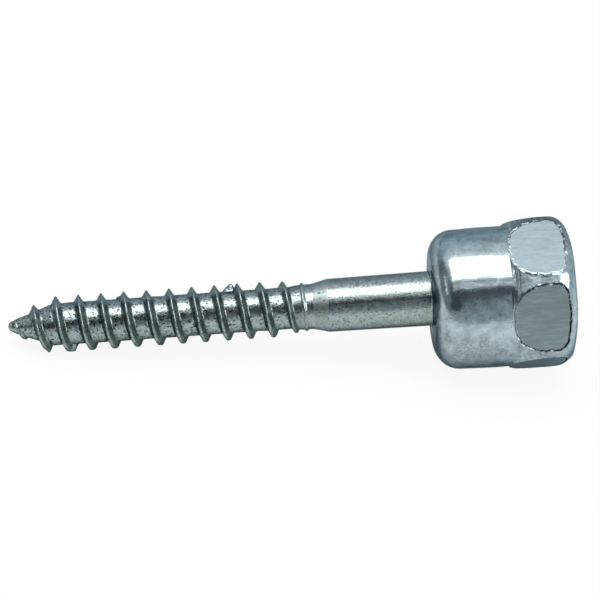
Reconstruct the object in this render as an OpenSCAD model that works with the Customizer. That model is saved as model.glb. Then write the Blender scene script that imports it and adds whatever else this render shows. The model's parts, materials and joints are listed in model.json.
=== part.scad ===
// Hanger screw for threaded rod: a wood screw with a round-shouldered hexagon head that is
// tapped from its far end. It is cold headed and thread rolled in one piece of steel.
// It lies as it rests on a flat surface, on its head's shoulder and on a thread crest near its
// point. +X runs from the point to the head.

/* [Screw] */
// Length from the point to the underside of the head
screw_l = 50.8; // [47:0.1:75]
// Diameter of the plain shank beside the neck
shank_d = 6.36; // [6:0.02:6.6]
// Diameter of the plain shank where it meets the head
shank_head_d = 6.56; // [6.4:0.02:7.4]
// Length of the plain shank
shank_l = 12.3; // [8:0.1:16]
// Diameter of the neck that thread rolling leaves between thread and shank
neck_d = 5.42; // [5.3:0.02:5.7]
// Length of the cone from the neck up to the shank
neck_cone_l = 1.9; // [1:0.1:3]
// Length of the plain neck between that cone and the lip
neck_l = 0.7; // [0.4:0.1:2]
// Diameter of the lip where the edge of the rolling die stopped
lip_d = 5.82; // [5.76:0.02:6.2]
// Width of that lip
lip_w = 0.6; // [0.4:0.05:1]

/* [Wood thread] */
// Diameter over the thread crests
thread_d = 6.74; // [6.5:0.02:7.2]
// Diameter at the thread root
root_d = 5.04; // [4.6:0.02:5.16]
// Distance from one crest to the next
pitch = 2.72; // [2.2:0.02:3.2]
// Width of the thread ridge at the root
ridge_w = 1.3; // [0.9:0.02:1.6]
// Width of the flat on top of the ridge
crest_w = 0.22; // [0.1:0.02:0.4]
// Distance from the point to where the ridge starts, on the upper side
thread_start = 0.9; // [0.8:0.05:1.5]
// Length over which the ridge grows to its full height
thread_grow_l = 2.4; // [1.5:0.1:5]
// Length over which it runs out again at the neck
thread_fade_l = 2.6; // [1:0.1:4]

/* [Point] */
// Length of the cone at the point
point_l = 5.6; // [4.5:0.1:8]
// Radius of the blunt tip
tip_r = 0.42; // [0.3:0.02:0.6]

/* [Head] */
// Length of the head
head_l = 16.4; // [15:0.1:20]
// Diameter of the round collar beside its shoulder
collar_d = 16.7; // [16.4:0.1:16.9]
// Diameter of the collar where the hexagon starts
collar_hex_d = 17; // [16.96:0.02:17.4]
// Length of the collar from the underside to the hexagon
collar_l = 8.9; // [6:0.1:9]
// Radius of the collar's shoulder
shoulder_r = 2.9; // [1.5:0.1:4]
// Width of the hexagon across its flats
hex_af = 16.86; // [16.6:0.02:16.9]
// Diameter over the hexagon's round corners
hex_corner_d = 18.8; // [18.2:0.1:19.2]
// Length over which the corners swell out of the collar
hex_flare_l = 4; // [2:0.1:5]
// Radius round the edge of the head's far end
end_r = 2.4; // [1:0.1:2.8]

/* [Rod hole] */
// Diameter of the hole inside its thread, for a 3/8-16 rod
hole_d = 7.94; // [7.6:0.02:8.4]
// Depth of the full round hole, from the head's far end
hole_l = 12.5; // [9:0.1:13]
// Diameter of the countersink at the hole's mouth
sink_d = 10; // [9.6:0.1:10.5]

/* [Rest] */
// How far the lying screw is rolled, from lying with a flat downwards
rest_turn = 10; // [0:0.5:17]

/* [Hidden] */
zinc = [0.72, 0.76, 0.79];
$fn = 96;

// Angles of the countersink's wall and of the drill point's wall to the hole's axis
sink_angle = 45;
drill_angle = 59;
// Steps in a turn of the thread, points across one pitch, and rings round the blunt tip
turn_steps = 36;
row_n = 6;
tip_rings = 4;
// How far the threaded core goes on inside the neck, and how much thinner it is there
core_lap = 0.04;
core_sink = 0.4;
// What the tip of the ridge keeps of its width where it has no height
ridge_w_least = 0.35;
// Size of a block that is larger than the head
block = 60;

shank_r = shank_d / 2;
shank_head_r = shank_head_d / 2;
neck_r = neck_d / 2;
lip_r = lip_d / 2;
thread_r = thread_d / 2;
root_r = root_d / 2;
collar_r = collar_d / 2;
collar_hex_r = collar_hex_d / 2;
corner_r = hex_corner_d / 2;
hole_r = hole_d / 2;
sink_r = sink_d / 2;

// Places along the screw's own axis, which starts at 0 at the very point
shank_start = screw_l - shank_l;
neck_end = shank_start - neck_cone_l;
lip_end = neck_end - neck_l;
lip_start = lip_end - lip_w;
swell_start = lip_start - 1.5;
hex_start = screw_l + collar_l;
head_end = screw_l + head_l;
flare_end = min(hex_start + hex_flare_l, head_end - end_r);
flare_l = flare_end - hex_start;
hole_end = head_end - hole_l;
drill_tip = hole_end - hole_r / tan(drill_angle);
sink_start = head_end - (sink_r - hole_r) / tan(sink_angle);

// The blunt tip is a ball, and the point's cone touches it at tip_z
function tip_angle_of(l, r) = atan2(r, l) - asin(tip_r / norm([l, r]));
point_angle = tip_angle_of(point_l - tip_r, root_r);
tip_z = tip_r * (1 - sin(point_angle));

function clamp(v, low, high) = min(high, max(low, v));
function ramp(v, start, end) = clamp((v - start) / (end - start), 0, 1);
function mix(a, b, share) = a + (b - a) * share;

// Radius of the threaded core: ball, cone, root, and the swelling up to the neck
function core_r(z) =
    z < tip_z ? sqrt(tip_r * tip_r - pow(tip_r - z, 2)) :
    z < point_l ? mix(tip_r * cos(point_angle), root_r, ramp(z, tip_z, point_l)) :
    z > lip_start + core_lap ? neck_r - core_sink :
    mix(root_r, neck_r - core_lap, ramp(z, swell_start, lip_start));

// The ridge winds up from thread_start, a whole number of steps. Step 0 is on the upper side,
// and a whole turn later it is on the upper side again, one pitch nearer to the head.
step_l = pitch / turn_steps;
last_step = floor((lip_start - crest_w - thread_start) / step_l);
thread_end = thread_start + last_step * step_l;
ridge_h = thread_r - root_r;
function step_angle(i) = 180 + 360 * i / turn_steps;
function ridge_z(i) = thread_start + i * step_l;
function ridge_share(z) = min(ramp(z, thread_start, thread_start + thread_grow_l),
    sqrt(ramp(thread_end - z, 0, thread_fade_l)));
function ridge_half(i) = ridge_w / 2 * mix(ridge_w_least, 1, ridge_share(ridge_z(i)));

// One row of points runs across the ridge and on over the root, and stops short of the same
// step one turn later. Each point is its place on the axis and its radius.
function foot(i) = let (z = ridge_z(i) - ridge_half(i)) [z, core_r(z)];
function crest(i, side) = let (z = ridge_z(i) + side * crest_w / 2)
    [z, core_r(z) + ridge_h * ridge_share(ridge_z(i))];
function heel(i) = let (z = ridge_z(i) + ridge_half(i)) [z, core_r(z)];
function land(i, share) = let (z = mix(heel(i)[0], foot(i + turn_steps)[0], share)) [z, core_r(z)];
function row(i) = [foot(i), crest(i, -1), crest(i, 1), heel(i), land(i, 1 / 3), land(i, 2 / 3)];
function turned(p, angle) = [p[1] * cos(angle), p[1] * sin(angle), p[0]];

core_end = thread_end + pitch + core_sink;
tip_turn = (90 - point_angle) / tip_rings;
rows = [for (i = [0:last_step]) each [for (p = row(i)) turned(p, step_angle(i))]];
feet = [for (i = [last_step + 1:last_step + turn_steps]) turned(foot(i), step_angle(i))];
cap_ring = [for (i = [0:turn_steps - 1]) turned([core_end, neck_r - core_sink], step_angle(i))];
tip_points = [for (k = [1:tip_rings]) each [for (i = [0:turn_steps - 1])
    turned([tip_r * (1 - cos(k * tip_turn)), tip_r * sin(k * tip_turn)], step_angle(i))]];

// Where each point stands in the one list of points
feet_at = len(rows);
cap_at = feet_at + len(feet);
tip_at = cap_at + turn_steps;
pole_at = tip_at + tip_rings * turn_steps;
function at(i, k) = k == row_n ? foot_at(i + turn_steps) : i * row_n + k;
function foot_at(i) = i <= last_step ? i * row_n : feet_at + i - last_step - 1;
function cap(i) = cap_at + i % turn_steps;
function ring(k, i) = tip_at + (k - 1) * turn_steps + i % turn_steps;
function quad(a, b, c, d) = [[a, b, c], [a, c, d]];

// The fans close the wedge that the first and the last row leave beside them
thread_faces = [for (i = [0:last_step - 1]) for (k = [0:row_n - 1])
    each quad(at(i, k), at(i, k + 1), at(i + 1, k + 1), at(i + 1, k))];
neck_faces = [for (i = [last_step + 1:last_step + turn_steps - 1])
    each quad(foot_at(i), cap(i), cap(i + 1), foot_at(i + 1))];
neck_fan = [for (k = [0:row_n - 1]) [foot_at(last_step + 1), at(last_step, k), at(last_step, k + 1)]];
neck_close = quad(foot_at(last_step + 1), foot_at(last_step + turn_steps), cap(last_step),
    cap(last_step + 1));
cone_faces = [for (i = [0:turn_steps - 2])
    each quad(ring(tip_rings, i), foot_at(i), foot_at(i + 1), ring(tip_rings, i + 1))];
cone_fan = [for (k = [0:row_n - 1]) [foot_at(turn_steps - 1), at(0, k + 1), at(0, k)]];
cone_close = quad(foot_at(turn_steps - 1), foot_at(0), ring(tip_rings, 0),
    ring(tip_rings, turn_steps - 1));
ball_faces = [for (k = [1:tip_rings - 1]) for (i = [0:turn_steps - 1])
    each quad(ring(k, i), ring(k + 1, i), ring(k + 1, i + 1), ring(k, i + 1))];
pole_faces = [for (i = [0:turn_steps - 1]) [pole_at, ring(1, i), ring(1, i + 1)]];
cap_face = [[for (i = [turn_steps - 1:-1:0]) cap(i)]];

// The screw leans on the shoulder's round and on one crest of the underside. The crest that
// it meets first is the one on which it leans least.
round_z = screw_l + shoulder_r;
round_x = collar_r - shoulder_r;
function low_crest(k, side) = crest((k + 0.5 - rest_turn / 360) * turn_steps, side);
function lean_on(p) = atan2(round_x - p[1], round_z - p[0])
    + asin(shoulder_r / norm([round_x - p[1], round_z - p[0]]));
lean = min([for (k = [0:4]) for (side = [-1, 1]) lean_on(low_crest(k, side))]);
rest_h = shoulder_r + round_x * cos(lean) - round_z * sin(lean);
x_min = tip_r * (cos(lean) - 1);
x_max = end_r + (corner_r - end_r) * sin(lean) + (head_end - end_r) * cos(lean);

module threaded_core() {
    polyhedron(points = concat(rows, feet, cap_ring, tip_points, [[0, 0, 0]]),
        faces = concat(thread_faces, neck_faces, neck_fan, neck_close, cone_faces, cone_fan,
            cone_close, ball_faces, pole_faces, cap_face), convexity = 10);
}

// Half section of all that is round: lip, neck, shank, and the head with its corners
module turned_section() {
    polygon([
        [0, lip_start],
        [neck_r + core_lap, lip_start],
        [lip_r, lip_start + lip_w / 3],
        [lip_r, lip_end - lip_w / 3],
        [neck_r, lip_end],
        [neck_r, neck_end],
        [shank_r, shank_start],
        [shank_head_r, screw_l],
        [round_x, screw_l],
        [collar_r, round_z],
        [collar_hex_r, hex_start],
        [corner_r, flare_end],
        [corner_r, head_end - end_r],
        [corner_r - end_r, head_end],
        [0, head_end],
    ]);
    translate([round_x, round_z]) circle(shoulder_r);
    translate([corner_r - end_r, head_end - end_r]) circle(end_r);
    flare_round();
}

// The corners swell in an arc that runs out level at their full size
module flare_round() {
    flare_h = corner_r - collar_hex_r;
    flare_r = (pow(flare_l, 2) + pow(flare_h, 2)) / (2 * flare_h);
    intersection() {
        translate([corner_r - flare_r, flare_end]) circle(flare_r, $fn = 4 * $fn);
        translate([0, hex_start]) square([corner_r, flare_l]);
    }
}

// What stays of the head: everything up to the hexagon, and from there on a hexagonal bar
module hex_bar() {
    cylinder(r = block, h = hex_start);
    translate([0, 0, hex_start]) rotate([0, 0, 30])
        cylinder(d = hex_af / cos(30), h = block, $fn = 6);
}

module rod_hole() {
    translate([0, 0, drill_tip])
        cylinder(r1 = 0, r2 = hole_r, h = hole_end - drill_tip);
    translate([0, 0, hole_end])
        cylinder(r = hole_r, h = head_end - hole_end + 1);
    translate([0, 0, sink_start])
        cylinder(r1 = hole_r, r2 = sink_r + 1, h = head_end - sink_start + 1);
}

module hanger_screw() {
    color(zinc)
    translate([-(x_min + x_max) / 2, 0, rest_h])
    rotate([0, 90 - lean, 0])
    rotate([0, 0, rest_turn])
    union() {
        threaded_core();
        difference() {
            intersection() {
                rotate_extrude() turned_section();
                hex_bar();
            }
            rod_hole();
        }
    }
}

hanger_screw();
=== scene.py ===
import json
import math
from types import SimpleNamespace

import bmesh
import bpy
from bpy.props import FloatProperty, FloatVectorProperty, IntProperty, PointerProperty
from bpy.types import Operator, Panel, PropertyGroup
from mathutils import Matrix, Vector, noise


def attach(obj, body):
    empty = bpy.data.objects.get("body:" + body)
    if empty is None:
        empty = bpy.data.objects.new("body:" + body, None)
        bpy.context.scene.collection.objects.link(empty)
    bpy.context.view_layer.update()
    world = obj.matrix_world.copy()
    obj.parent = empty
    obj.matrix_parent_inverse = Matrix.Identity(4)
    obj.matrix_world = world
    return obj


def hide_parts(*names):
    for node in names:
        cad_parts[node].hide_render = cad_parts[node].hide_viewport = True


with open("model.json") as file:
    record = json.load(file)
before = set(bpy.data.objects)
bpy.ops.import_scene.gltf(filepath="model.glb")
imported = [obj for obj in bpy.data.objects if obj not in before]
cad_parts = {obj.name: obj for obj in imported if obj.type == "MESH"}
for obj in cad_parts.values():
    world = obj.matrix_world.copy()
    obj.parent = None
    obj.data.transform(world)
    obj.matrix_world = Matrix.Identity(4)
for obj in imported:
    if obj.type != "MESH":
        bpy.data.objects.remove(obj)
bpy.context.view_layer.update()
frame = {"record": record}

bl_info = {
    "name": "Hanger Screw",
    "version": (1, 0, 0),
    "blender": (4, 5, 0),
    "location": "3D View > Sidebar > Hanger Screw",
    "description": "Makes a zinc-plated wood screw with a tapped hexagon head, and its studio",
    "category": "Object",
}

MM = 0.001
ROD_MOUNT = next(m for m in frame["record"]["mounts"] if m["name"] == "rod_thread")

# Angles round the screw's axis, in its own frame: towards the camera, up in its view, and to the
# lowest corner of the hexagon that shows
CAMERA_SIDE = math.radians(219.7)
UPPER_SIDE = math.radians(129.7)
LOWER_CORNER = math.radians(270)

# The two flats that show, counted round from the one that faces X
UPPER_FLAT = 3
LOWER_FLAT = 4

# The finishes that the skin's faces have, which are its material slots in this order
THREAD, SHANK, HEAD, FLAT, TAPPED, GROOVE = range(6)

# How far a place in a mesh may be rounded, in metres
ROUNDING = 1e-9

# Places across the wood thread's ridge, from its middle at 0 to its feet at -1 and 1
RIDGE_ACROSS = (-1, -0.88, -0.76, -0.62, -0.46, -0.3, -0.2, -0.12, 0,
                0.12, 0.2, 0.3, 0.46, 0.62, 0.76, 0.88, 1)

# The ridge's width where it starts, as a share of its full width
RIDGE_START = 0.35

# Steps across the land beside the ridge, rings round the ball at the tip and round its cone
LAND_STEPS = 8
TIP_RINGS = 6
CONE_RINGS = 10

# The rod thread's groove: places across its pitch, and the share of its depth at each
ROD_GROOVE = ((0, 0), (0.12, 0), (0.3, 0.45), (0.5, 0.97), (0.56, 1), (0.62, 0.97), (0.8, 0.45),
              (0.98, 0))

# Knocks in the wood thread: angle round the axis, distance from the point, reach round the axis
# and along it, and height, in degrees and millimetres. The first three make a torn flap.
KNOCKS = (
    (131, 26.75, 11, 0.78, 0.66),
    (134, 27.0, 9, 0.34, 0.4),
    (132, 27.42, 16, 0.13, -0.8),
    (130, 13.45, 9, 0.3, 0.32),
    (247, 22.62, 7, 0.28, -0.3),
    (314, 7.8, 16, 0.5, 0.85),
    (316, 4.85, 16, 0.4, 0.25),
    (138, 9.9, 8, 0.25, -0.2),
    (298, 17.1, 9, 0.3, -0.22),
    (58, 20.3, 10, 0.4, -0.25),
    (18, 12.1, 12, 0.5, 0.2),
)

# Scuffs on the head that hold dirt, in the same way, with their strength last in place of height
SCUFFS = (
    (262, 54.6, 16, 3.0, 0.55),
    (268, 57.8, 8, 1.2, 0.5),
    (250, 52.0, 10, 0.5, 0.9),
    (190, 51.9, 9, 0.4, 1.0),
    (222, 59.2, 5, 0.5, 0.8),
    (264, 60.2, 6, 0.8, 0.7),
    (278, 56.5, 30, 8.0, 0.3),
    (140, 53.5, 20, 2.0, 0.4),
    (40, 55.0, 25, 2.5, 0.5),
    (330, 53.0, 20, 2.0, 0.5),
)

# Stains on the thread, the neck and the shank, in the same way as the scuffs
STAINS = (
    (232, 35.2, 35, 1.1, 0.4),
    (238, 37.4, 22, 1.0, 0.35),
    (228, 50.2, 60, 0.9, 0.25),
    (225, 5.2, 14, 0.75, 1.0),
    (222, 7.3, 12, 0.5, 0.9),
    (216, 10.4, 12, 0.55, 1.0),
    (209, 13.3, 9, 0.5, 0.7),
    (213, 15.9, 8, 0.4, 0.5),
    (212, 18.6, 9, 0.5, 0.4),
    (214, 21.3, 9, 0.5, 0.5),
    (211, 24.1, 10, 0.55, 0.45),
    (213, 26.9, 9, 0.5, 0.4),
    (210, 29.6, 9, 0.5, 0.5),
    (58, 9.2, 20, 0.6, 0.9),
    (328, 11.6, 16, 0.6, 0.8),
)


def size(name, description, millimetres):
    """A length on the screw, with its default in millimetres."""
    return FloatProperty(name=name, description=description, default=millimetres * MM,
                         precision=5, unit="LENGTH", subtype="DISTANCE")


def span(name, description, metres):
    """A length in the studio, with its default in metres."""
    return FloatProperty(name=name, description=description, default=metres, precision=4,
                         unit="LENGTH", subtype="DISTANCE")


def linear(code):
    """The linear colour of an sRGB hex code."""
    parts = [int(code[i:i + 2], 16) / 255 for i in (0, 2, 4)]
    return [p / 12.92 if p <= 0.04045 else ((p + 0.055) / 1.055) ** 2.4 for p in parts] + [1.0]


def colour(name, description, code):
    """A colour that starts from an sRGB hex code."""
    return FloatVectorProperty(name=name, description=description, default=linear(code),
                               size=4, min=0, max=1, subtype="COLOR")


class ScrewSizes(PropertyGroup):
    """Sizes of the screw, along and across its own axis."""
    screw_l: size("Screw length", "From the point to the head's underside", 50.8)
    shank_r: size("Shank radius", "Radius of the plain shank beside the neck", 3.18)
    shank_head_r: size("Shank radius at head", "Radius of the shank at the head", 3.28)
    shank_l: size("Shank length", "Length of the plain shank", 12.3)
    neck_r: size("Neck radius", "Radius of the neck between thread and shank", 2.71)
    neck_cone_l: size("Neck cone", "Length of the cone from neck to shank", 1.9)
    neck_l: size("Neck length", "Length of the plain neck", 0.7)
    lip_r: size("Lip radius", "Radius of the lip where the thread dies stopped", 2.91)
    lip_w: size("Lip width", "Width of that lip", 0.6)
    lip_skew: size("Lip skew", "How far the lip runs askew round the neck", 0.17)
    thread_r: size("Crest radius", "Radius over the wood thread's crests", 3.37)
    root_r: size("Root radius", "Radius at the wood thread's root", 2.52)
    pitch: size("Pitch", "Distance between the wood thread's crests", 2.72)
    ridge_w: size("Ridge width", "Width of the thread's ridge at its root", 1.3)
    crest_w: size("Crest width", "Width of the flat on the ridge", 0.15)
    thread_start: size("Thread start", "Where the ridge starts, from the point", 0.9)
    thread_grow_l: size("Thread growth", "Length over which the ridge grows", 2.4)
    thread_fade_l: size("Thread run-out", "Length over which the ridge runs out", 2.6)
    squeeze_l: size("Squeezed end", "Length before the lip where the last turn is squeezed", 0.5)
    swell_l: size("Root swelling", "Length over which the root swells to the neck", 1.5)
    point_l: size("Point length", "Length of the cone at the point", 5.6)
    tip_r: size("Tip radius", "Radius of the blunt tip", 0.64)
    tip_swell: size("Tip swelling", "How far the point's cone swells beside the tip", 0.03)
    head_l: size("Head length", "Length of the head", 16.4)
    collar_r: size("Collar radius", "Radius of the collar beside its shoulder", 8.35)
    collar_hex_r: size("Collar radius at hexagon", "Radius of the collar at the hexagon", 8.5)
    collar_l: size("Collar length", "From the head's underside to the hexagon", 8.9)
    shoulder_r: size("Shoulder radius", "Radius of the collar's shoulder", 2.9)
    flat_d: size("Flat distance", "From the axis to a flat of the hexagon", 8.42)
    corner_r: size("Corner radius", "Radius over the hexagon's round corners", 9.4)
    flare_l: size("Flare length", "Length over which the corners swell", 4)
    end_r: size("End rounding", "Radius round the head's far end", 2.4)
    hole_r: size("Hole radius", "Radius inside the rod thread", 3.97)
    hole_l: size("Hole depth", "Depth of the full round hole", 12.5)
    sink_r: size("Countersink radius", "Radius of the hole's mouth", 5)
    mouth_edge: size("Broken edge", "How far the sharp edge of the mouth is broken", 0.15)
    rod_pitch: size("Rod pitch", "Pitch of the 3/8-16 rod thread", 1.5875)
    rod_thread_h: size("Rod thread depth", "Depth of the rod thread's grooves", 0.79)
    rod_fade_l: size("Rod thread run-out", "Length over which the rod thread runs out", 2.5)
    fillet: size("Fillet", "Rounding between the shank and the head", 0.3)
    lean_in: size("Shank offset", "How far the thread's line passes beside the head's", 0.3)
    lean_out: size("Point offset", "The same at the point, to the other side", 0.12)
    tip_off: size("Tip offset", "How far the blunt tip stands off its cone's line", 0.14)
    bulge: size("Bulge", "How far the head swells where a flat is cut", 0.45)
    end_draw: size("Drawn end", "How much lower the head's round end is beyond a flat", 0.68)
    tip_wear: size("Tip wear", "How much the blunt tip is worn back", 0.12)
    rim_w: size("Groove wall", "Width of each wall of the groove round a trimmed flat", 0.128)
    rim_h: size("Groove depth", "Depth of that groove below the flat's edge", 0.1)
    ragged: size("Ragged edge", "How far the edge of the least clean flat wanders", 0.26)
    hex_off: size("Hexagon offset", "How far the hexagon stands beside the collar's axis", 0.12)
    shoulder_off: size("Worn shoulder", "How much more the shoulder is rounded on one side", 0.22)
    step_h: size("Step height", "Height of the first of two steps where the hexagon starts", 0.06)
    step_gap: size("Step gap", "From the first of those steps to the second", 0.55)
    rest_turn: FloatProperty(name="Roll", default=math.radians(10), subtype="ANGLE",
                             description="From lying with a flat downwards")
    thread_columns: IntProperty(name="Thread columns", default=120, min=24,
                                description="Points round the thread and the shank")
    head_columns: IntProperty(name="Head columns", default=300, min=48,
                              description="Points round the head")
    hole_columns: IntProperty(name="Hole columns", default=96, min=24,
                              description="Points round the hole")


class ScrewFinish(PropertyGroup):
    """Colours of the zinc plating, of the wear in it and of the painted shade laid on it."""
    zinc: colour("Zinc", "Bright blue-white zinc", "B4C2C8")
    zinc_dull: colour("Dull zinc", "Zinc where it is thin or stained", "879497")
    flat_zinc: colour("Trimmed zinc", "Zinc on the trimmed flats", "9BAAB1")
    worn_zinc: colour("Worn zinc", "Zinc on the shank and the thread", "A4ADAB")
    # On the lower flat alone this colour is painted shade, which darkens it against the upper
    # flat
    ridge: colour("Ridge", "Duller zinc on the thread's ridges", "869291")
    glance: colour("Zinc at a glance", "What a glancing look keeps of its shine", "889298")
    # Also painted shade: the same dark colour is laid on in specks in the creases beside the
    # ridges' feet, in the grooves round the flats and under the head. In pits and grain lines it
    # is the steel's own dark marks.
    dark_marks_and_shade: colour("Dark marks", "Burnt oil in pits and beside the ridges", "33383A")
    stain: colour("Stain", "Brown-green stain between the first ridges", "5C5238")
    tapped: colour("Tapped steel", "Steel in the cut rod thread", "8A8E90")


class StudioSettings(PropertyGroup):
    """Floor, lamps and camera."""
    floor: colour("Floor", "Pale floor", "DEE0E0")
    floor_w: span("Floor width", "Width of the floor", 3)
    lens: FloatProperty(name="Lens", description="Focal length on a 36 mm sensor", default=105,
                        subtype="DISTANCE_CAMERA")
    distance: span("Camera distance", "From the point aimed at", 0.20955)
    roll: FloatProperty(name="Camera roll", default=math.radians(3.525), subtype="ANGLE",
                        description="How steeply the screw's axis rises in the view")
    aim_s: size("Aim along the screw", "From the point, along the axis", 35.103)
    aim_up: size("Aim above the axis", "Upwards in the view", 1.045)
    lamp_away: span("Lamp distance", "From the screw to each lamp", 0.45)
    glow: FloatProperty(name="Lamp brightness", description="Radiance, where 1 renders white",
                        default=3.3, min=0)
    softbox_w: span("Softbox width", "Along the screw", 0.46)
    softbox_d: span("Softbox depth", "Across the screw", 0.31)
    strip_d: span("Strip depth", "Of the strip light below the softbox", 0.016)
    side_strip_w: span("Side strip width", "Of the strip light beyond the point", 0.02)
    side_strip_d: span("Side strip depth", "Of the same strip light", 0.17)
    side_softbox_w: span("Side softbox width", "Of the softbox beyond the head", 0.38)
    side_softbox_d: span("Side softbox depth", "Of the same softbox", 0.25)
    fill: FloatProperty(name="Floor fill", default=0.9, min=0, max=1, subtype="FACTOR",
                        description="How much of the floor's shadow its own glow hides")
    mirrored: FloatProperty(name="Mirrored fill", default=0.25, min=0, max=1, subtype="FACTOR",
                            description="Share of that glow in reflections")


def places(z):
    """Radii and places along the axis that follow from the sizes."""
    shank_start = z.screw_l - z.shank_l
    neck_end = shank_start - z.neck_cone_l
    lip_end = neck_end - z.neck_l
    lip_start = lip_end - z.lip_w
    hex_start = z.screw_l + z.collar_l
    head_end = z.screw_l + z.head_l
    hole_end = head_end - z.hole_l
    sink_start = head_end - (z.sink_r - z.hole_r)
    drill_angle = math.radians(59)
    point_angle = math.atan2(z.root_r, z.point_l - z.tip_r) - math.asin(
        z.tip_r / math.hypot(z.point_l - z.tip_r, z.root_r))
    return SimpleNamespace(
        shank_start=shank_start, neck_end=neck_end, lip_end=lip_end, lip_start=lip_start,
        swell_start=lip_start - z.swell_l, thread_end=lip_start - z.crest_w,
        hex_start=hex_start, flare_end=hex_start + z.flare_l, head_end=head_end,
        hole_end=hole_end, drill_tip=hole_end - z.hole_r / math.tan(drill_angle),
        rod_start=sink_start - 0.1 * MM, mount_s=(hole_end + sink_start) / 2,
        point_angle=point_angle, tip_s=z.tip_r * (1 - math.sin(point_angle)))


def screw_frame(z):
    """The screw's own frame: Z runs along its axis from the point, and a flat faces X."""
    axis = Vector(ROD_MOUNT["axis"]).normalized()
    side = Vector((0, 1, 0))
    down = side.cross(axis)
    turn = Matrix((down, side, axis)).transposed().to_4x4()
    start = Vector(ROD_MOUNT["pos_m"]) - axis * places(z).mount_s
    return Matrix.Translation(start) @ turn @ Matrix.Rotation(z.rest_turn, 4, "Z")


def view_directions(z):
    """Along the screw, towards the camera and up in its view, at right angles to each other."""
    own = screw_frame(z).to_3x3()
    axis = own @ Vector((0, 0, 1))
    back = own @ on_cylinder(CAMERA_SIDE, 0, 1)
    rise = own @ on_cylinder(UPPER_SIDE, 0, 1)
    return axis, back, rise


def clamp(value, low=0.0, high=1.0):
    """The value, kept between two bounds."""
    return min(high, max(low, value))


def mix(a, b, share):
    """The value that lies that share of the way from a to b."""
    return a + (b - a) * share


def lumps(point, grain, height):
    """Smooth noise of that height, with lumps about as far apart as grain."""
    return noise.noise(point / grain) * height


def on_cylinder(angle, s, r):
    """The point at an angle round the axis, a distance along it and a radius."""
    return Vector((r * math.cos(angle), r * math.sin(angle), s))


def column_angle(i, columns):
    """The angle round the axis of one of a ring's columns of points."""
    return math.pi + 2 * math.pi * i / columns


def lower_side(angle):
    """How far a side of the screw faces down in the camera's view, from 0 to 1."""
    return clamp(-math.cos(angle - UPPER_SIDE)) ** 2


def core_radius(z, at, s):
    """Radius of the threaded core: the ball at the tip, the point's cone, the root, the neck."""
    if s < at.tip_s:
        return math.sqrt(max(0, z.tip_r ** 2 - (z.tip_r - s) ** 2))
    if s < z.point_l:
        share = (s - at.tip_s) / (z.point_l - at.tip_s)
        swell = z.tip_swell * min(clamp(share / 0.15), clamp((1 - share) / 0.6))
        return mix(z.tip_r * math.cos(at.point_angle), z.root_r, share) + swell
    return mix(z.root_r, z.neck_r, clamp((s - at.swell_start) / z.swell_l))


def ridge_share(z, at, s):
    """How much of its full height the ridge has, with its crest at s."""
    grown = clamp((s - z.thread_start) / z.thread_grow_l)
    left = clamp((at.thread_end - s) / z.thread_fade_l)
    return min(grown, math.sqrt(left))


def ridge_height(z, across, below):
    """Height of the ridge's section, from its middle at 0 to its feet at -1 and 1. Its slightly
    domed crest is wider on the lower side of the screw, and its flanks round out at the feet."""
    crest = z.crest_w / z.ridge_w * (1 + 1.6 * below)
    if abs(across) <= crest:
        return 1 - 0.03 * (across / crest) ** 2
    flank = 0.97 * (1 - (abs(across) - crest) / (0.9 - crest))
    return max(0, (flank + math.sqrt(flank ** 2 + 0.02)) / 2 - 0.03 * abs(across))


def marks_at(marks, angle, s):
    """The sum of what the marks in a table give there."""
    total = 0
    for degrees, place, turn_reach, reach, amount in marks:
        along = (s / MM - place) / reach
        if abs(along) < 1:
            turn = (math.degrees(angle) - degrees + 180) % 360 - 180
            round_it = clamp(1 - (turn / turn_reach) ** 2)
            total += amount * round_it * (1 - along ** 2)
    return total


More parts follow.
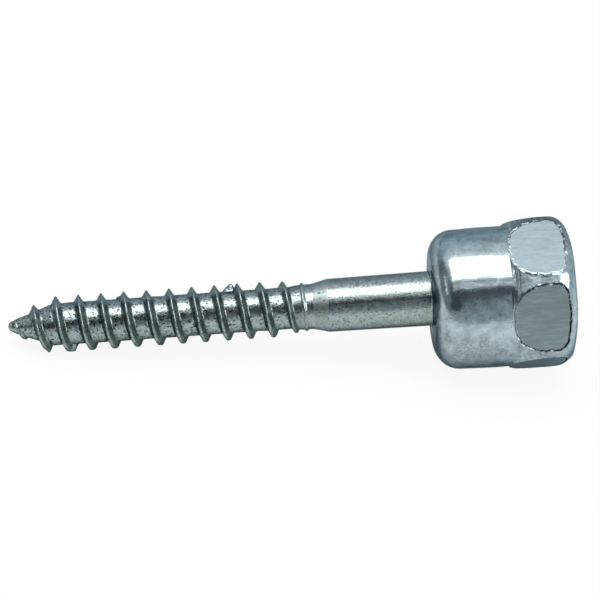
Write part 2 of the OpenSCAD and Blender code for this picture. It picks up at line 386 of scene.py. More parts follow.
class Skin:
    """The points and faces of the screw's surface, made ring by ring along its axis."""

    def __init__(self):
        self.points = []
        self.soil_and_shade = []
        self.stain = []
        self.dull_and_shaded = []
        self.faces = []
        self.zones = []

    def point(self, angle, s, r, soil_and_shade=0.0, dull_and_shaded=0.0):
        self.points.append(on_cylinder(angle, s, r))
        self.soil_and_shade.append(soil_and_shade)
        self.dull_and_shaded.append(dull_and_shaded)
        self.stain.append(marks_at(STAINS, angle, s))
        return len(self.points) - 1

    def face(self, zone, *corners):
        self.faces.append(corners)
        self.zones.append(zone)

    def ring(self, columns, place):
        """One closed ring. place gives what point takes at an angle, after the angle itself."""
        angles = [column_angle(c, columns) for c in range(columns)]
        return [self.point(a, *place(a)) for a in angles]

    def bridge(self, zone, lower, upper):
        """Faces between two rings, which may have different numbers of points."""
        a, b = len(lower), len(upper)
        if a == b:
            for i in range(a):
                j = (i + 1) % a
                self.face(zone, lower[i], lower[j], upper[j], upper[i])
            return
        i = j = 0
        while i < a or j < b:
            if j == b or (i < a and (i + 1) / a <= (j + 1) / b):
                self.face(zone, lower[i], lower[(i + 1) % a], upper[j % b])
                i += 1
            else:
                self.face(zone, lower[i % a], upper[(j + 1) % b], upper[j])
                j += 1

    def helix(self, zone, steps, last, row):
        """A skin that winds along the axis, steps to a turn. row gives the points of one step,
        across one pitch. Returns its two edges as rings."""
        rows = [[self.point(*p) for p in row(i)] for i in range(last + 1)]
        feet = [self.point(*row(i)[0]) for i in range(last + 1, last + steps + 1)]
        width = len(rows[0])

        def foot(i):
            return rows[i][0] if i <= last else feet[i - last - 1]

        def at(i, k):
            return rows[i][k] if k < width else foot(i + steps)

        for i in range(last):
            for k in range(width):
                self.face(zone, at(i, k), at(i, k + 1), at(i + 1, k + 1), at(i + 1, k))
        for k in range(width):
            self.face(zone, foot(steps - 1), at(0, k + 1), at(0, k))
            self.face(zone, foot(last + 1), at(last, k), at(last, k + 1))
        upper = [foot(i) for i in range(last + 1, last + steps + 1)]
        shift = (last + 1) % steps
        return [foot(i) for i in range(steps)], upper[steps - shift:] + upper[:steps - shift]

    def close(self, zone, ring, s):
        """Closes a ring to a point on the axis."""
        tip = self.point(0, s, 0)
        for i in range(len(ring)):
            self.face(zone, ring[i], ring[(i + 1) % len(ring)], tip)


def land_wear(p):
    """How far the thread's bare core stands off its smooth form."""
    return lumps(p, 1.1 * MM, 0.035 * MM) + lumps(p, 0.35 * MM, 0.02 * MM)


def crest_wear(p):
    """How far the thread's ridge stands off its smooth form."""
    return lumps(p, 0.5 * MM, 0.035 * MM) + lumps(p, 0.25 * MM, 0.03 * MM)


def half_ridge(z, at, crest_s):
    """Half the ridge's width, with its crest at crest_s."""
    return z.ridge_w / 2 * mix(RIDGE_START, 1, ridge_share(z, at, crest_s))


def thread_spots(z, at, angle, crest_s):
    """Across the ridge and the land beside it: the distance along the axis, the share of the
    ridge's height, and the painted shade laid on there in dark specks, strongest on the lower
    flanks and on the land right beside each foot."""
    half = half_ridge(z, at, crest_s)
    next_foot = crest_s + z.pitch - half_ridge(z, at, crest_s + z.pitch)
    # Painted shade: darker on the lower flanks and on the land nearest each foot
    spots = [(crest_s + half * a, ridge_height(z, a, lower_side(angle)), clamp(abs(a) * 4 - 2.4))
             for a in RIDGE_ACROSS]
    for k in range(1, LAND_STEPS):
        from_foot = min(k, LAND_STEPS - k)
        spots.append((mix(crest_s + half, next_foot, k / LAND_STEPS), 0,
                      clamp(0.85 - 0.4 * from_foot)))
    return spots


def squeezed(z, at, s):
    """Where a place on the thread's last turn comes to lie, so that it stays off the lip."""
    beyond = max(0, s - at.lip_start + z.squeeze_l)
    return s + z.squeeze_l * (1 - math.exp(-beyond / z.squeeze_l)) - beyond


def thread_row(z, at, i):
    """The points of one step of the wood thread, across its ridge and the land beside it."""
    angle = column_angle(i, z.thread_columns)
    crest_s = z.thread_start + z.pitch * i / z.thread_columns
    share = ridge_share(z, at, crest_s)
    row = []
    for place, height, dark_marks_and_shade in thread_spots(z, at, angle, crest_s):
        s = squeezed(z, at, place)
        p = on_cylinder(angle, s, z.root_r)
        core = core_radius(z, at, s)
        ridge = ((z.thread_r - z.root_r) + crest_wear(p)) * height * share
        land = land_wear(p) * (1 - height) * clamp(core / z.root_r)
        knock = marks_at(KNOCKS, angle, s) * MM
        reach = min(core + ridge + land + knock, z.thread_r * 1.005)
        # The flanks are duller than the crest, and so is the swollen root
        crest = clamp((height - 0.85) / 0.1)
        flank = clamp(height * 5) * (1 - 0.55 * crest) * share
        swollen = 0.7 * clamp((s - at.swell_start) / (0.4 * MM))
        # Painted shade in the creases beside the ridges' feet, and dirt on the raised knocks
        soil_and_shade = max(dark_marks_and_shade * clamp(share * 2), 1.2 * clamp(knock / MM - 0.1))
        row.append((angle, s, reach, soil_and_shade, max(flank, swollen)))
    return row


def arc(s, r, radius, start, end, count):
    """Places on an arc about (s, r). Angles are in degrees from the axis's own direction."""
    turns = [math.radians(mix(start, end, k / count)) for k in range(count + 1)]
    return [(s + radius * math.cos(t), r + radius * math.sin(t)) for t in turns]


def line(start, end, count):
    """Places on a straight line, without its first."""
    return [(mix(start[0], end[0], k / count), mix(start[1], end[1], k / count))
            for k in range(1, count + 1)]


def neck_places(z, at):
    """The lip, the neck, its cone and the shank, as places along the axis and radii."""
    edge = 0.05 * MM
    lip = ((0.15, z.neck_r + 0.02 * MM), (0.3, z.lip_r - 0.03 * MM),
           (0.45, z.lip_r + 0.02 * MM), (0.6, z.lip_r), (0.8, (z.neck_r + z.lip_r) / 2))
    return [
        *[(at.lip_start + z.lip_w * share, r) for share, r in lip],
        (at.lip_end, z.neck_r),
        *line((at.lip_end, z.neck_r), (at.neck_end - edge, z.neck_r), 5),
        *line((at.neck_end, z.neck_r), (at.shank_start - edge, z.shank_r - 0.012 * MM), 10),
        (at.shank_start + edge, z.shank_r),
        *line((at.shank_start + edge, z.shank_r), (z.screw_l - z.fillet, z.shank_head_r), 44),
        (z.screw_l - z.fillet / 3, z.shank_head_r + z.fillet / 5),
        (z.screw_l, z.shank_head_r + z.fillet * 5 / 6),
    ]


def neck_point(z, at, angle, s, r):
    """Distance along the axis, radius, dirt and painted shade, and dullness of a place from the
    lip to the shank. It has no dirt and no painted shade. The lip runs askew, and the cone is
    rougher and less shiny."""
    askew = z.lip_skew * clamp((at.neck_end - s) / z.neck_l)
    wave = lumps(on_cylinder(angle, s, r), 1.3 * MM, 0.005 * MM)
    dull_and_shaded = float(at.neck_end < s < at.shank_start)
    return s - askew * math.cos(angle - UPPER_SIDE), r + wave, 0.0, dull_and_shaded


def head_places(z, at):
    """The head from its underside round to the countersink's mouth."""
    round_r = z.collar_r - z.shoulder_r
    round_s = z.screw_l + z.shoulder_r
    flare_h = z.corner_r - z.collar_hex_r
    flare_r = (z.flare_l ** 2 + flare_h ** 2) / (2 * flare_h)
    flare_turn = math.degrees(math.asin(z.flare_l / flare_r))
    flare = arc(at.flare_end, z.corner_r - flare_r, flare_r, 90 + flare_turn, 90, 26)
    end_s = at.head_end - z.end_r
    edge = 0.06 * MM
    first, foot = at.hex_start, z.collar_hex_r
    second = first + z.step_gap
    return [
        *line((z.screw_l, z.shank_head_r + z.fillet), (z.screw_l, round_r - 0.1 * MM), 4),
        *arc(round_s, round_r, z.shoulder_r, 180, 90, 22),
        *line((round_s, z.collar_r), (first - 0.2 * MM, foot - 0.005 * MM), 28),
        (first - edge, foot),
        (first + edge, foot + z.step_h),
        (first + 0.25 * MM, foot + z.step_h * 1.2),
        (second - edge, foot + z.step_h * 1.4),
        (second + edge, foot + z.step_h * 3),
        *[(s, max(r, foot + z.step_h * 3.2)) for s, r in flare if s > second + 0.15 * MM],
        *line((at.flare_end, z.corner_r), (end_s, z.corner_r), 10),
        *arc(end_s, z.corner_r - z.end_r, z.end_r, 90, 0, 22)[1:],
        *line((at.head_end, z.corner_r - z.end_r), (at.head_end, z.sink_r + z.mouth_edge), 6),
    ]


def forged_waves(p, on_hex):
    """How far the head's skin stands off its smooth form, with finer waves on the hexagon."""
    waves = lumps(p, 3.2 * MM, 0.03 * MM) + lumps(p, 1.1 * MM, 0.012 * MM)
    finer = lumps(p, 0.5 * MM, 0.006 * MM) + lumps(p, 1.7 * MM, 0.025 * MM)
    return waves + on_hex * finer


def drawn_over_flat(z, at, s, r):
    """How much lower the head is over the middle of a flat than at the corners beside it. It
    swells where the flats are cut, and its round end is drawn in."""
    if s > at.hex_start:
        drawn = -z.bulge * clamp((s - at.hex_start - 0.1 * MM) / (0.4 * MM))
    else:
        drawn = 0.1 * MM * clamp(1 - (at.hex_start - s) / (3 * MM))
    near_end = clamp((s - at.head_end + z.end_r) / (0.6 * z.end_r))
    outer = clamp((r - z.corner_r + z.end_r) / z.end_r)
    return drawn + (z.bulge + z.end_draw) * near_end * outer


def head_radius(z, at, angle, s, r):
    """The head's radius there, with what forging and wear made of it."""
    outside = clamp((r - z.shank_head_r - 1 * MM) / (2 * MM))
    on_hex = clamp((s - at.hex_start) / (0.8 * MM))
    waves = forged_waves(on_cylinder(angle, s, z.collar_r), on_hex)
    on_shoulder = clamp(1 - (s - z.screw_l) / (z.shoulder_r * 1.5))
    worn = z.shoulder_off * lower_side(angle) * on_shoulder ** 2
    over_flat = 0.5 + 0.5 * math.cos(6 * angle)
    return r + outside * (waves - worn - over_flat * drawn_over_flat(z, at, s, r))


def head_point(z, at, angle, s, r):
    """The same for a place on the head. Painted shade lies on its underside, round the shank,
    laid on in dark specks; dirt lies in its scuffs and at every other corner; and the underside
    is rougher and less shiny."""
    underside = clamp(1 - (s - z.screw_l) / (0.3 * z.shoulder_r))
    on_hex = clamp((s - at.hex_start) / (2 * MM)) * clamp((at.head_end - s) / z.end_r)
    corner = 0.6 * on_hex * clamp(math.cos(3 * (angle - LOWER_CORNER)))
    # Painted shade under the head, with dirt in the scuffs and at the corners
    soil_and_shade = max(underside, corner, marks_at(SCUFFS, angle, s))
    return s, head_radius(z, at, angle, s, r), soil_and_shade, underside


def rod_row(z, at, i):
    """One step of the tapped thread, which winds into the hole from its mouth."""
    crest_s = at.rod_start - z.rod_pitch * i / z.hole_columns
    grown = clamp(4 * i / z.hole_columns)
    fade = clamp((crest_s - at.hole_end) / z.rod_fade_l) * grown
    return [(-column_angle(i, z.hole_columns), crest_s - across * z.rod_pitch,
             z.hole_r + z.rod_thread_h * depth * fade) for across, depth in ROD_GROOVE]


def make_tip(skin, z, at):
    """Makes the ball at the tip. Returns its last ring."""
    turn = math.pi / 2 - at.point_angle
    rings = []
    for k in range(1, TIP_RINGS + 1):
        t = k / TIP_RINGS * turn
        s, r = z.tip_r * (1 - math.cos(t)), z.tip_r * math.sin(t)
        rings.append(skin.ring(z.thread_columns, lambda a: (s, r)))
    skin.close(THREAD, rings[0], 0)
    for lower, upper in zip(rings, rings[1:]):
        skin.bridge(THREAD, lower, upper)
    return rings[-1]


def make_thread(skin, z, at, ring):
    """Makes the wood thread, and the point's cone before it. Returns the thread's end."""
    n = z.thread_columns
    last = int((at.thread_end - z.thread_start) / z.pitch * n)
    start, end = skin.helix(THREAD, n, last, lambda i: thread_row(z, at, i))
    cone = [ring]
    for k in range(1, CONE_RINGS):
        new = []
        for i, foot in enumerate(start):
            a = column_angle(i, n)
            s = mix(at.tip_s, skin.points[foot].z, k / CONE_RINGS)
            new.append(skin.point(a, s, core_radius(z, at, s) + land_wear(
                on_cylinder(a, s, z.root_r))))
        cone.append(new)
    for lower, upper in zip(cone, cone[1:] + [start]):
        skin.bridge(THREAD, lower, upper)
    return end


def make_neck(skin, z, at, ring):
    """Makes the lip, the neck, its cone and the shank. Returns the last ring."""
    for s, r in neck_places(z, at):
        new = skin.ring(z.thread_columns, lambda a: neck_point(z, at, a, s, r))
        skin.bridge(SHANK, ring, new)
        ring = new
    return ring


def make_head(skin, z, at, ring):
    """Makes the head, as far as the hole's mouth. Returns its last ring."""
    for s, r in head_places(z, at):
        new = skin.ring(z.head_columns, lambda a: head_point(z, at, a, s, r))
        skin.bridge(HEAD, ring, new)
        ring = new
    return ring


def make_hole(skin, z, at, ring):
    """Makes the hole's mouth, its tapped thread and the drill's cone at its bottom."""
    n = z.hole_columns
    mouth = skin.ring(n, lambda a: (at.head_end - z.mouth_edge / 3, z.sink_r))
    skin.bridge(HEAD, ring, mouth)
    last = int((at.rod_start - at.hole_end - z.rod_pitch) / z.rod_pitch * n)
    inner, bottom = skin.helix(TAPPED, n, last, lambda i: rod_row(z, at, i))
    # The rod thread winds the other way round, because it starts at the mouth
    reverse = [0] + list(range(n - 1, 0, -1))
    skin.bridge(TAPPED, [mouth[c] for c in reverse], inner)
    floor = skin.ring(n, lambda a: (at.hole_end, z.hole_r))
    skin.bridge(TAPPED, bottom, [floor[c] for c in reverse])
    skin.close(TAPPED, floor, at.drill_tip)


def screw_skin(z, at):
    """The whole surface, from the tip round to the bottom of the hole."""
    skin = Skin()
    ring = make_tip(skin, z, at)
    ring = make_thread(skin, z, at, ring)
    ring = make_neck(skin, z, at, ring)
    ring = make_head(skin, z, at, ring)
    make_hole(skin, z, at, ring)
    return skin


def groove_painted_shade(k, along, up):
    """How much painted shade lies in the groove round flat k, at a place from -1 to 1 along the
    screw and from -1 to 1 upwards in the camera's view: round the upper flat it is darker upwards
    and towards the head, round the lower flat everywhere but the middle of its side towards the
    point."""
    if k == UPPER_FLAT:
        return clamp(0.5 + 0.9 * up + 0.4 * along)
    return 1 - clamp(-1.6 * along - abs(up))


def tear_edge(z, edges, centre, reach):
    """Lets the edge of a flat wander, off from its centre and back."""
    for v in {v for e in edges for v in e.verts if v.co.z > z.screw_l}:
        wander = lumps(v.co, 0.25 * MM, 0.7) + lumps(v.co, 0.9 * MM, 0.5)
        v.co += wander * reach * (v.co - centre).normalized()


def trim_flats(z, form, soil_and_shade, dull_and_shaded):
    """Cuts the six flats. The trimming die left a narrow ragged groove round each one."""
    half = 4 * MM
    least_area = 4 * MM ** 2
    for k in range(6):
        out = on_cylinder(math.radians(60 * k), 0, 1)
        centre = out * z.flat_d + Vector((0, 0, z.screw_l + (z.collar_l + z.head_l) / 2))
        cut = bmesh.ops.bisect_plane(
            form, geom=form.verts[:] + form.edges[:] + form.faces[:], dist=1e-8,
            plane_co=out * z.flat_d, plane_no=out, clear_outer=True)["geom_cut"]
        edges = [e for e in cut if isinstance(e, bmesh.types.BMEdge)]
        tear_edge(z, edges, centre, z.ragged if k == UPPER_FLAT else z.ragged * 0.4)
        faces = bmesh.ops.edgeloop_fill(form, edges=edges, mat_nr=FLAT)["faces"]
        large = [f for f in faces if f.calc_area() > least_area]
        deep = z.rim_h * (0.3 if k == UPPER_FLAT else 1)
        wall = []
        for depth in (-deep, deep):
            wall += bmesh.ops.inset_individual(
                form, faces=large, thickness=z.rim_w, depth=depth, use_even_offset=False)["faces"]
        # The groove's walls hold painted shade, laid on in dark specks by their material
        for f in wall:
            f.material_index = GROOVE
            f.smooth = False
            for v in f.verts:
                place = (v.co - centre) / half
                v[soil_and_shade] = groove_painted_shade(k, place.z, place.dot(on_cylinder(UPPER_SIDE, 0, 1)))
        for f in large:
            f.material_index = FLAT
            f.smooth = False
            for v in f.verts:
                # Painted shade: the lower flat alone takes the ridges' darker zinc, to darken it
                # against the upper flat
                v[dull_and_shaded] = float(k == LOWER_FLAT)
        for edge in edges:
            if edge.is_valid:
                edge.smooth = False


def shift_shank(z, at, p):
    """Where a point comes to lie. The thread's line and the hexagon stand a little beside the
    collar's axis, and the worn tip stands off its cone."""
    if p.z > z.screw_l - ROUNDING:
        return p + on_cylinder(UPPER_SIDE, 0, z.hex_off * clamp((p.z - at.hex_start) / z.flare_l))
    lean = mix(-z.lean_out, z.lean_in, p.z / z.screw_l)
    tip = z.tip_off * clamp(1 - p.z / (3.5 * MM)) ** 2
    worn = z.tip_wear * clamp(1 - p.z / (1.5 * MM))
    return p + on_cylinder(UPPER_SIDE, worn, lean + tip)


def screw_mesh(z):
    """The screw as one closed mesh, where it lies."""
    at = places(z)
    skin = screw_skin(z, at)
    mesh = bpy.data.meshes.new("hanger_screw_skin")
    mesh.from_pydata(skin.points, [], skin.faces)
    mesh.polygons.foreach_set("material_index", skin.zones)
    for name, values in (("soil_and_shade", skin.soil_and_shade), ("stain", skin.stain), ("dull_and_shaded", skin.dull_and_shaded)):
        mesh.attributes.new(name, "FLOAT", "POINT").data.foreach_set("value", values)
    form = bmesh.new()
    form.from_mesh(mesh)
    for f in form.faces:
        f.smooth = True
    layers = form.verts.layers.float
    trim_flats(z, form, layers["soil_and_shade"], layers["dull_and_shaded"])
    for v in form.verts:
        v.co = shift_shank(z, at, v.co.copy())
    bmesh.ops.triangulate(form, faces=[f for f in form.faces if len(f.verts) > 4])
    bmesh.ops.recalc_face_normals(form, faces=form.faces)
    bmesh.ops.transform(form, matrix=screw_frame(z), verts=form.verts)
    form.to_mesh(mesh)
    form.free()
    return mesh


def add_node(tree, kind, inputs=None, **settings):
    """Adds a node with its settings. Each input is a value, or a socket that is linked to it."""
    new = tree.nodes.new(kind)
    for name, value in settings.items():
        setattr(new, name, value)
    for name, value in (inputs or {}).items():
        if isinstance(value, bpy.types.NodeSocket):
            tree.links.new(value, new.inputs[name])
        else:
            new.inputs[name].default_value = value
    return new


def new_material(name):
    """An empty material and its tree."""
    material = bpy.data.materials.new(name)
    material.use_nodes = True
    material.node_tree.nodes.clear()
    return material, material.node_tree


def own_place(tree, own, stretch=1.0):
    """Coordinates in the screw's own frame, with what they carry drawn out along its axis."""
    place = add_node(tree, "ShaderNodeTexCoord").outputs["Object"]
    return add_node(tree, "ShaderNodeMapping", {
        "Vector": place, "Location": own.translation, "Rotation": own.to_euler(),
        "Scale": (1, 1, stretch)}, vector_type="TEXTURE").outputs["Vector"]


def per(millimetres):
    """The texture scale that repeats once in that length."""
    return 1 / (millimetres * MM)


def mottle(tree, place, millimetres, low, high, detail=4.0, to=(0.0, 1.0)):
    """A value that varies in lumps of that size. What lies from low to high of its noise is
    spread over the range given."""
    grain = add_node(tree, "ShaderNodeTexNoise", {
        "Vector": place, "Scale": per(millimetres), "Detail": detail, "Roughness": 0.6})
    return add_node(tree, "ShaderNodeMapRange", {
        "Value": grain.outputs["Fac"], "From Min": low, "From Max": high,
        "To Min": to[0], "To Max": to[1]}).outputs["Result"]


def lay_over(tree, tone, top, *shares):
    """The tone with a colour laid over it, as far as the product of the shares."""
    share = shares[0]
    for other in shares[1:]:
        share = add_node(tree, "ShaderNodeMath", {0: share, 1: other}, operation="MULTIPLY",
                         use_clamp=True).outputs[0]
    return add_node(tree, "ShaderNodeMix", {"Factor": share, "A": tone, "B": top},
                    data_type="RGBA").outputs["Result"]


def zinc_steel(name, own, finish, look):
    """Steel with a zinc plating: duller patches, drawn grain, dark pits, painted shade laid on in
    dark specks, stains, the ridges' darker zinc, which also darkens the lower flat as painted
    shade, and fine bumps. The sizes in a look are millimetres."""
    material, tree = new_material(name)
    place = own_place(tree, own)
    drawn = own_place(tree, own, look.get("stretch", 1.0))
    patches = mottle(tree, drawn, look["patch"], 0.4, 0.68, 5.0, (0.0, look.get("patchy", 1.0)))
    tone = lay_over(tree, look.get("base", finish.zinc), finish.zinc_dull, patches)
    if look.get("lines"):
        lines = mottle(tree, drawn, look["grain"], 0.5, 0.75, to=(0.0, look["lines"]))
        tone = lay_over(tree, tone, finish.dark_marks_and_shade, lines)
    # Dark specks where the vertex attribute asks: painted shade in the creases by the ridges'
    # feet, in the grooves round the flats and under the head, and dirt in the scuffs, at the
    # head's corners and on the knocks
    if look.get("speck"):
        soil_and_shade = add_node(tree, "ShaderNodeAttribute", attribute_name="soil_and_shade").outputs["Fac"]
        specks = mottle(tree, place, look["speck"], *look["specks"])
        tone = lay_over(tree, tone, finish.dark_marks_and_shade, soil_and_shade, specks)
    if look.get("stains"):
        stain = add_node(tree, "ShaderNodeAttribute", attribute_name="stain").outputs["Fac"]
        tone = lay_over(tree, tone, finish.stain, stain, mottle(tree, place, 0.45, 0.34, 0.58))
    pits = mottle(tree, place, look["grain"] * 1.6, *look["pits"], detail=2.0)
    tone = lay_over(tree, tone, finish.dark_marks_and_shade, pits)
    dull_and_shaded = add_node(tree, "ShaderNodeAttribute", attribute_name="dull_and_shaded").outputs["Fac"]
    # The ridges' darker zinc, where the attribute for dullness asks: on the thread's flanks and
    # swollen root, and as painted shade over the lower flat
    if look.get("ridges"):
        uneven = mottle(tree, drawn, 0.4, 0.3, 0.7, to=(0.2, 1.2))
        tone = lay_over(tree, tone, finish.ridge, dull_and_shaded, uneven)
    bumps = add_node(tree, "ShaderNodeBump", {
        "Height": mottle(tree, drawn, look["grain"], 0.0, 1.0), "Distance": look["bump"] * MM,
        "Strength": 1.0})
    rough = look["rough"]
    gloss = mottle(tree, place, look["patch"], 0.3, 0.7, to=(rough, rough + 0.07))
    gloss = add_node(tree, "ShaderNodeMath", {0: dull_and_shaded, 1: look.get("duller", 0.1), 2: gloss},
                     operation="MULTIPLY_ADD").outputs[0]
    shader = add_node(tree, "ShaderNodeBsdfPrincipled", {
        "Base Color": tone, "Metallic": 1.0, "Roughness": gloss,
        "Specular Tint": finish.glance, "Normal": bumps.outputs["Normal"]})
    add_node(tree, "ShaderNodeOutputMaterial", {"Surface": shader.outputs["BSDF"]})
    return material


def screw_materials(own, finish):
    """The materials of the skin's zones, in the order of their numbers. Each grain is drawn
    coarser than the real one, which would be too fine to show."""
    # Rolled thread: burnished lands, pitted where the dies slipped, painted shade in dark specks
    # and stains at its feet
    rolled = dict(base=finish.worn_zinc, patch=0.5, grain=0.2, bump=0.034, rough=0.08,
                  pits=(0.54, 0.65), speck=0.4, specks=(0.46, 0.7), stains=True, ridges=True,
                  duller=0.16)
    # Drawn shank: smooth and shiny, with the wire's faint pitting and a few stains
    smooth = dict(base=finish.worn_zinc, patch=0.7, patchy=0.85, grain=0.12, bump=0.02,
                  rough=0.05, duller=0.3, pits=(0.58, 0.67), stains=True)
    # Forged head: smooth from the die and softly clouded, with dirt in its scuffs and painted
    # shade in dark specks on its underside
    forged = dict(patch=1.3, patchy=0.75, grain=0.15, bump=0.012, rough=0.08,
                  pits=(0.63, 0.74), speck=0.35, specks=(0.35, 0.8))
    # Trimmed flats: sheared and matt, with fine lines along the stroke, and painted shade that
    # darkens the lower flat
    trimmed = dict(base=finish.flat_zinc, patch=0.4, patchy=0.6, grain=0.11, stretch=6.0,
                   lines=0.25, bump=0.005, rough=0.3, pits=(0.7, 0.82), ridges=True, duller=0)
    # Tapped thread: cut steel, thinly plated and darker
    tapped = dict(base=finish.tapped, patch=1.2, grain=0.2, bump=0.01, rough=0.3,
                  pits=(0.7, 0.8))
    # Groove beside a flat: torn steel, bright where it is clean, with painted shade laid on in
    # dark specks
    torn = dict(patch=0.8, grain=0.2, bump=0.02, rough=0.2, pits=(0.6, 0.7),
                speck=0.7, specks=(0.36, 0.5))
    looks = (("rolled_zinc_steel", rolled), ("drawn_zinc_steel", smooth),
             ("forged_zinc_steel", forged), ("trimmed_zinc_steel", trimmed),
             ("tapped_steel", tapped), ("torn_zinc_steel", torn))
    return [zinc_steel(name, own, finish, look) for name, look in looks]


class HANGER_OT_make_screw(Operator):
    """Makes the hanger screw where the frame has it"""
    bl_idname = "object.make_hanger_screw"
    bl_label = "Make Hanger Screw"

    def execute(self, context):
        z = context.scene.screw_sizes
        piece = bpy.data.objects.new("plated_hanger_screw", screw_mesh(z))
        context.scene.collection.objects.link(piece)
        for material in screw_materials(screw_frame(z), context.scene.screw_finish):
            piece.data.materials.append(material)
        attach(piece, "root")
        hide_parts("hanger_screw")
        return {"FINISHED"}


def add_lamp(scene, name, width, depth, turn, aside=0.0):
    """A lamp that shines on the screw's middle. turn is its angle round the screw, up from the
    camera's side, and aside how far it is swung towards the point, both in degrees."""
    studio = scene.studio
    axis, back, rise = view_directions(scene.screw_sizes)
    turn, aside = math.radians(turn), math.radians(aside)
    away = math.cos(turn) * back + math.sin(turn) * rise
    away = math.cos(aside) * away - math.sin(aside) * axis
    across = away.cross(axis).normalized()
    lamp = bpy.data.lights.new(name, "AREA")
    lamp.shape = "RECTANGLE"
    lamp.size = width
    lamp.size_y = depth
    lamp.energy = studio.glow * math.pi * width * depth
    stand = bpy.data.objects.new(name, lamp)
    stand.matrix_world = Matrix.Translation(away * studio.lamp_away) @ Matrix(
        (across.cross(away), across, away)).transposed().to_4x4()
    scene.collection.objects.link(stand)


def add_floor(scene, studio):
    """A pale matt floor, on which the screw lies. Its glow hides part of the shadow."""
    material, tree = new_material("matt_paper")
    paper = add_node(tree, "ShaderNodeBsdfPrincipled", {
        "Base Color": studio.floor, "Roughness": 0.9, "Specular IOR Level": 0.1})
    glow = add_node(tree, "ShaderNodeEmission", {"Color": (1, 1, 1, 1), "Strength": 1.0})
    rays = add_node(tree, "ShaderNodeLightPath").outputs
    seen = add_node(tree, "ShaderNodeMath", {
        0: rays["Is Glossy Ray"], 1: studio.mirrored, 2: rays["Is Camera Ray"]},
        operation="MULTIPLY_ADD", use_clamp=True)
    share = add_node(tree, "ShaderNodeMath", {0: seen.outputs[0], 1: studio.fill},
                     operation="MULTIPLY")
    both = add_node(tree, "ShaderNodeMixShader", {
        0: share.outputs[0], 1: paper.outputs["BSDF"], 2: glow.outputs["Emission"]})
    add_node(tree, "ShaderNodeOutputMaterial", {"Surface": both.outputs["Shader"]})
    half = studio.floor_w / 2
    mesh = bpy.data.meshes.new("floor")
    mesh.from_pydata([(-half, -half, 0), (half, -half, 0), (half, half, 0), (-half, half, 0)],
                     [], [(0, 1, 2, 3)])
    mesh.materials.append(material)
    floor = bpy.data.objects.new("floor", mesh)
    scene.collection.objects.link(floor)


# The room's light at angles round the screw, up from the camera's side, in degrees
ROOM = ((-180, "C4C8CA"), (-41, "C4C8CA"), (-38, "AEB8BC"), (-4, "AEB7BB"), (2, "62666E"),
        (19, "62666E"), (23, "7C8489"), (32, "838A8F"), (70, "FAFDFF"), (93, "F2F8FC"),
        (99, "C2D2DB"), (142, "B4C4CC"), (180, "A8B8C0"))

# The walls past the screw's point and its head: where each starts and where it is full, as
# shares of the axis, and its colour
POINT_WALL = (-0.6, -0.8)
POINT_WALL_TONE = "8A9496"
HEAD_WALL = (0.6, 0.8)
HEAD_WALL_TONE = "CCD6DA"

# A dark card beside the camera on the point's side: where its base, its top and its end start
# and where it is full, as angles round the screw and as a share of the axis, and its colour
CARD_BASE = (math.radians(-24), math.radians(-19))
CARD_TOP = (math.radians(23), math.radians(19))
CARD_END = (0.055, 0.02)
CARD_TONE = "54585F"


def light_room(scene):
    """The room round the lamps, which the screw mirrors: dark on the camera's side, white above,
    grey behind, with a dark card. The camera itself sees it white."""
    world = bpy.data.worlds.new("studio")
    world.use_nodes = True
    scene.world = world
    tree = world.node_tree
    tree.nodes.clear()
    way = add_node(tree, "ShaderNodeTexCoord").outputs["Generated"]
    along, nearer, upper = [
        add_node(tree, "ShaderNodeVectorMath", {0: way, 1: side},
                 operation="DOT_PRODUCT").outputs["Value"]
        for side in view_directions(scene.screw_sizes)]
    turn = add_node(tree, "ShaderNodeMath", {0: upper, 1: nearer}, operation="ARCTAN2").outputs[0]
    place = add_node(tree, "ShaderNodeMapRange", {
        "Value": turn, "From Min": -math.pi, "From Max": math.pi})
    ramp = add_node(tree, "ShaderNodeValToRGB", {"Fac": place.outputs["Result"]})
    points = ramp.color_ramp.elements
    while len(points) < len(ROOM):
        points.new(1.0)
    for point, (degrees, code) in zip(points, ROOM):
        point.position = degrees / 360 + 0.5
        point.color = linear(code)
    reaches = ((turn, CARD_BASE), (turn, CARD_TOP), (along, CARD_END), (along, POINT_WALL),
               (along, HEAD_WALL))
    base, top, end, by_point, by_head = [
        add_node(tree, "ShaderNodeMapRange", {
            "Value": value, "From Min": start, "From Max": full},
            interpolation_type="SMOOTHSTEP").outputs["Result"]
        for value, (start, full) in reaches]
    room = lay_over(tree, ramp.outputs["Color"], linear(CARD_TONE), base, top, end)
    room = lay_over(tree, room, linear(POINT_WALL_TONE), by_point)
    room = lay_over(tree, room, linear(HEAD_WALL_TONE), by_head)
    seen = add_node(tree, "ShaderNodeLightPath").outputs["Is Camera Ray"]
    room = lay_over(tree, room, (1, 1, 1, 1), seen)
    glow = add_node(tree, "ShaderNodeBackground", {"Color": room})
    add_node(tree, "ShaderNodeOutputWorld", {"Surface": glow.outputs["Background"]})


def add_camera(scene, studio):
    """The camera, which looks down across the lying screw."""
    own = screw_frame(scene.screw_sizes)
    axis, back, rise = view_directions(scene.screw_sizes)
    right = math.cos(studio.roll) * axis - math.sin(studio.roll) * rise
    up = math.sin(studio.roll) * axis + math.cos(studio.roll) * rise
    aim = own @ Vector((0, 0, studio.aim_s)) + up * studio.aim_up
    turn = Matrix((right, up, back)).transposed().to_4x4()
    camera = bpy.data.objects.new("camera", bpy.data.cameras.new("camera"))
    camera.data.lens = studio.lens
    camera.data.sensor_width = 36
    camera.data.clip_start = 0.01
    camera.matrix_world = Matrix.Translation(aim + back * studio.distance) @ turn
    scene.collection.objects.link(camera)
    scene.camera = camera


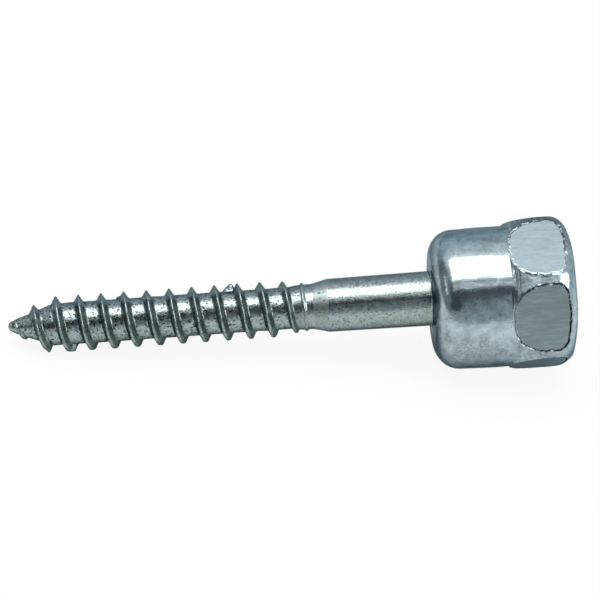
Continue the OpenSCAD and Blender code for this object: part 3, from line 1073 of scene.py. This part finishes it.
class HANGER_OT_make_studio(Operator):
    """Makes the floor, the lamps, the room's light and the camera"""
    bl_idname = "scene.make_hanger_studio"
    bl_label = "Make Studio"

    def execute(self, context):
        scene = context.scene
        studio = scene.studio
        add_floor(scene, studio)
        add_lamp(scene, "softbox", studio.softbox_w, studio.softbox_d, turn=51)
        add_lamp(scene, "strip", studio.softbox_w, studio.strip_d, turn=21)
        add_lamp(scene, "side_strip", studio.side_strip_w, studio.side_strip_d,
                 turn=39, aside=57)
        add_lamp(scene, "side_softbox", studio.side_softbox_w, studio.side_softbox_d,
                 turn=13, aside=-50)
        light_room(scene)
        add_camera(scene, studio)
        scene.view_settings.view_transform = "Standard"
        return {"FINISHED"}


class HANGER_PT_sidebar(Panel):
    """Lists the screw's pieces and the studio"""
    bl_label = "Hanger Screw"
    bl_idname = "HANGER_PT_sidebar"
    bl_space_type = "VIEW_3D"
    bl_region_type = "UI"
    bl_category = "Hanger Screw"

    def draw(self, context):
        scene = context.scene
        for group in (scene.screw_sizes, scene.screw_finish, scene.studio):
            box = self.layout.box()
            for name in group.bl_rna.properties.keys():
                if name not in ("rna_type", "name"):
                    box.prop(group, name)
        self.layout.operator(HANGER_OT_make_screw.bl_idname)
        self.layout.operator(HANGER_OT_make_studio.bl_idname)


CLASSES = (ScrewSizes, ScrewFinish, StudioSettings, HANGER_OT_make_screw,
           HANGER_OT_make_studio, HANGER_PT_sidebar)


def register():
    for new in CLASSES:
        bpy.utils.register_class(new)
    bpy.types.Scene.screw_sizes = PointerProperty(type=ScrewSizes)
    bpy.types.Scene.screw_finish = PointerProperty(type=ScrewFinish)
    bpy.types.Scene.studio = PointerProperty(type=StudioSettings)


def unregister():
    del bpy.types.Scene.studio
    del bpy.types.Scene.screw_finish
    del bpy.types.Scene.screw_sizes
    for old in reversed(CLASSES):
        bpy.utils.unregister_class(old)


def main():
    register()
    bpy.ops.object.make_hanger_screw()
    bpy.ops.scene.make_hanger_studio()


if __name__ == "__main__":
    main()
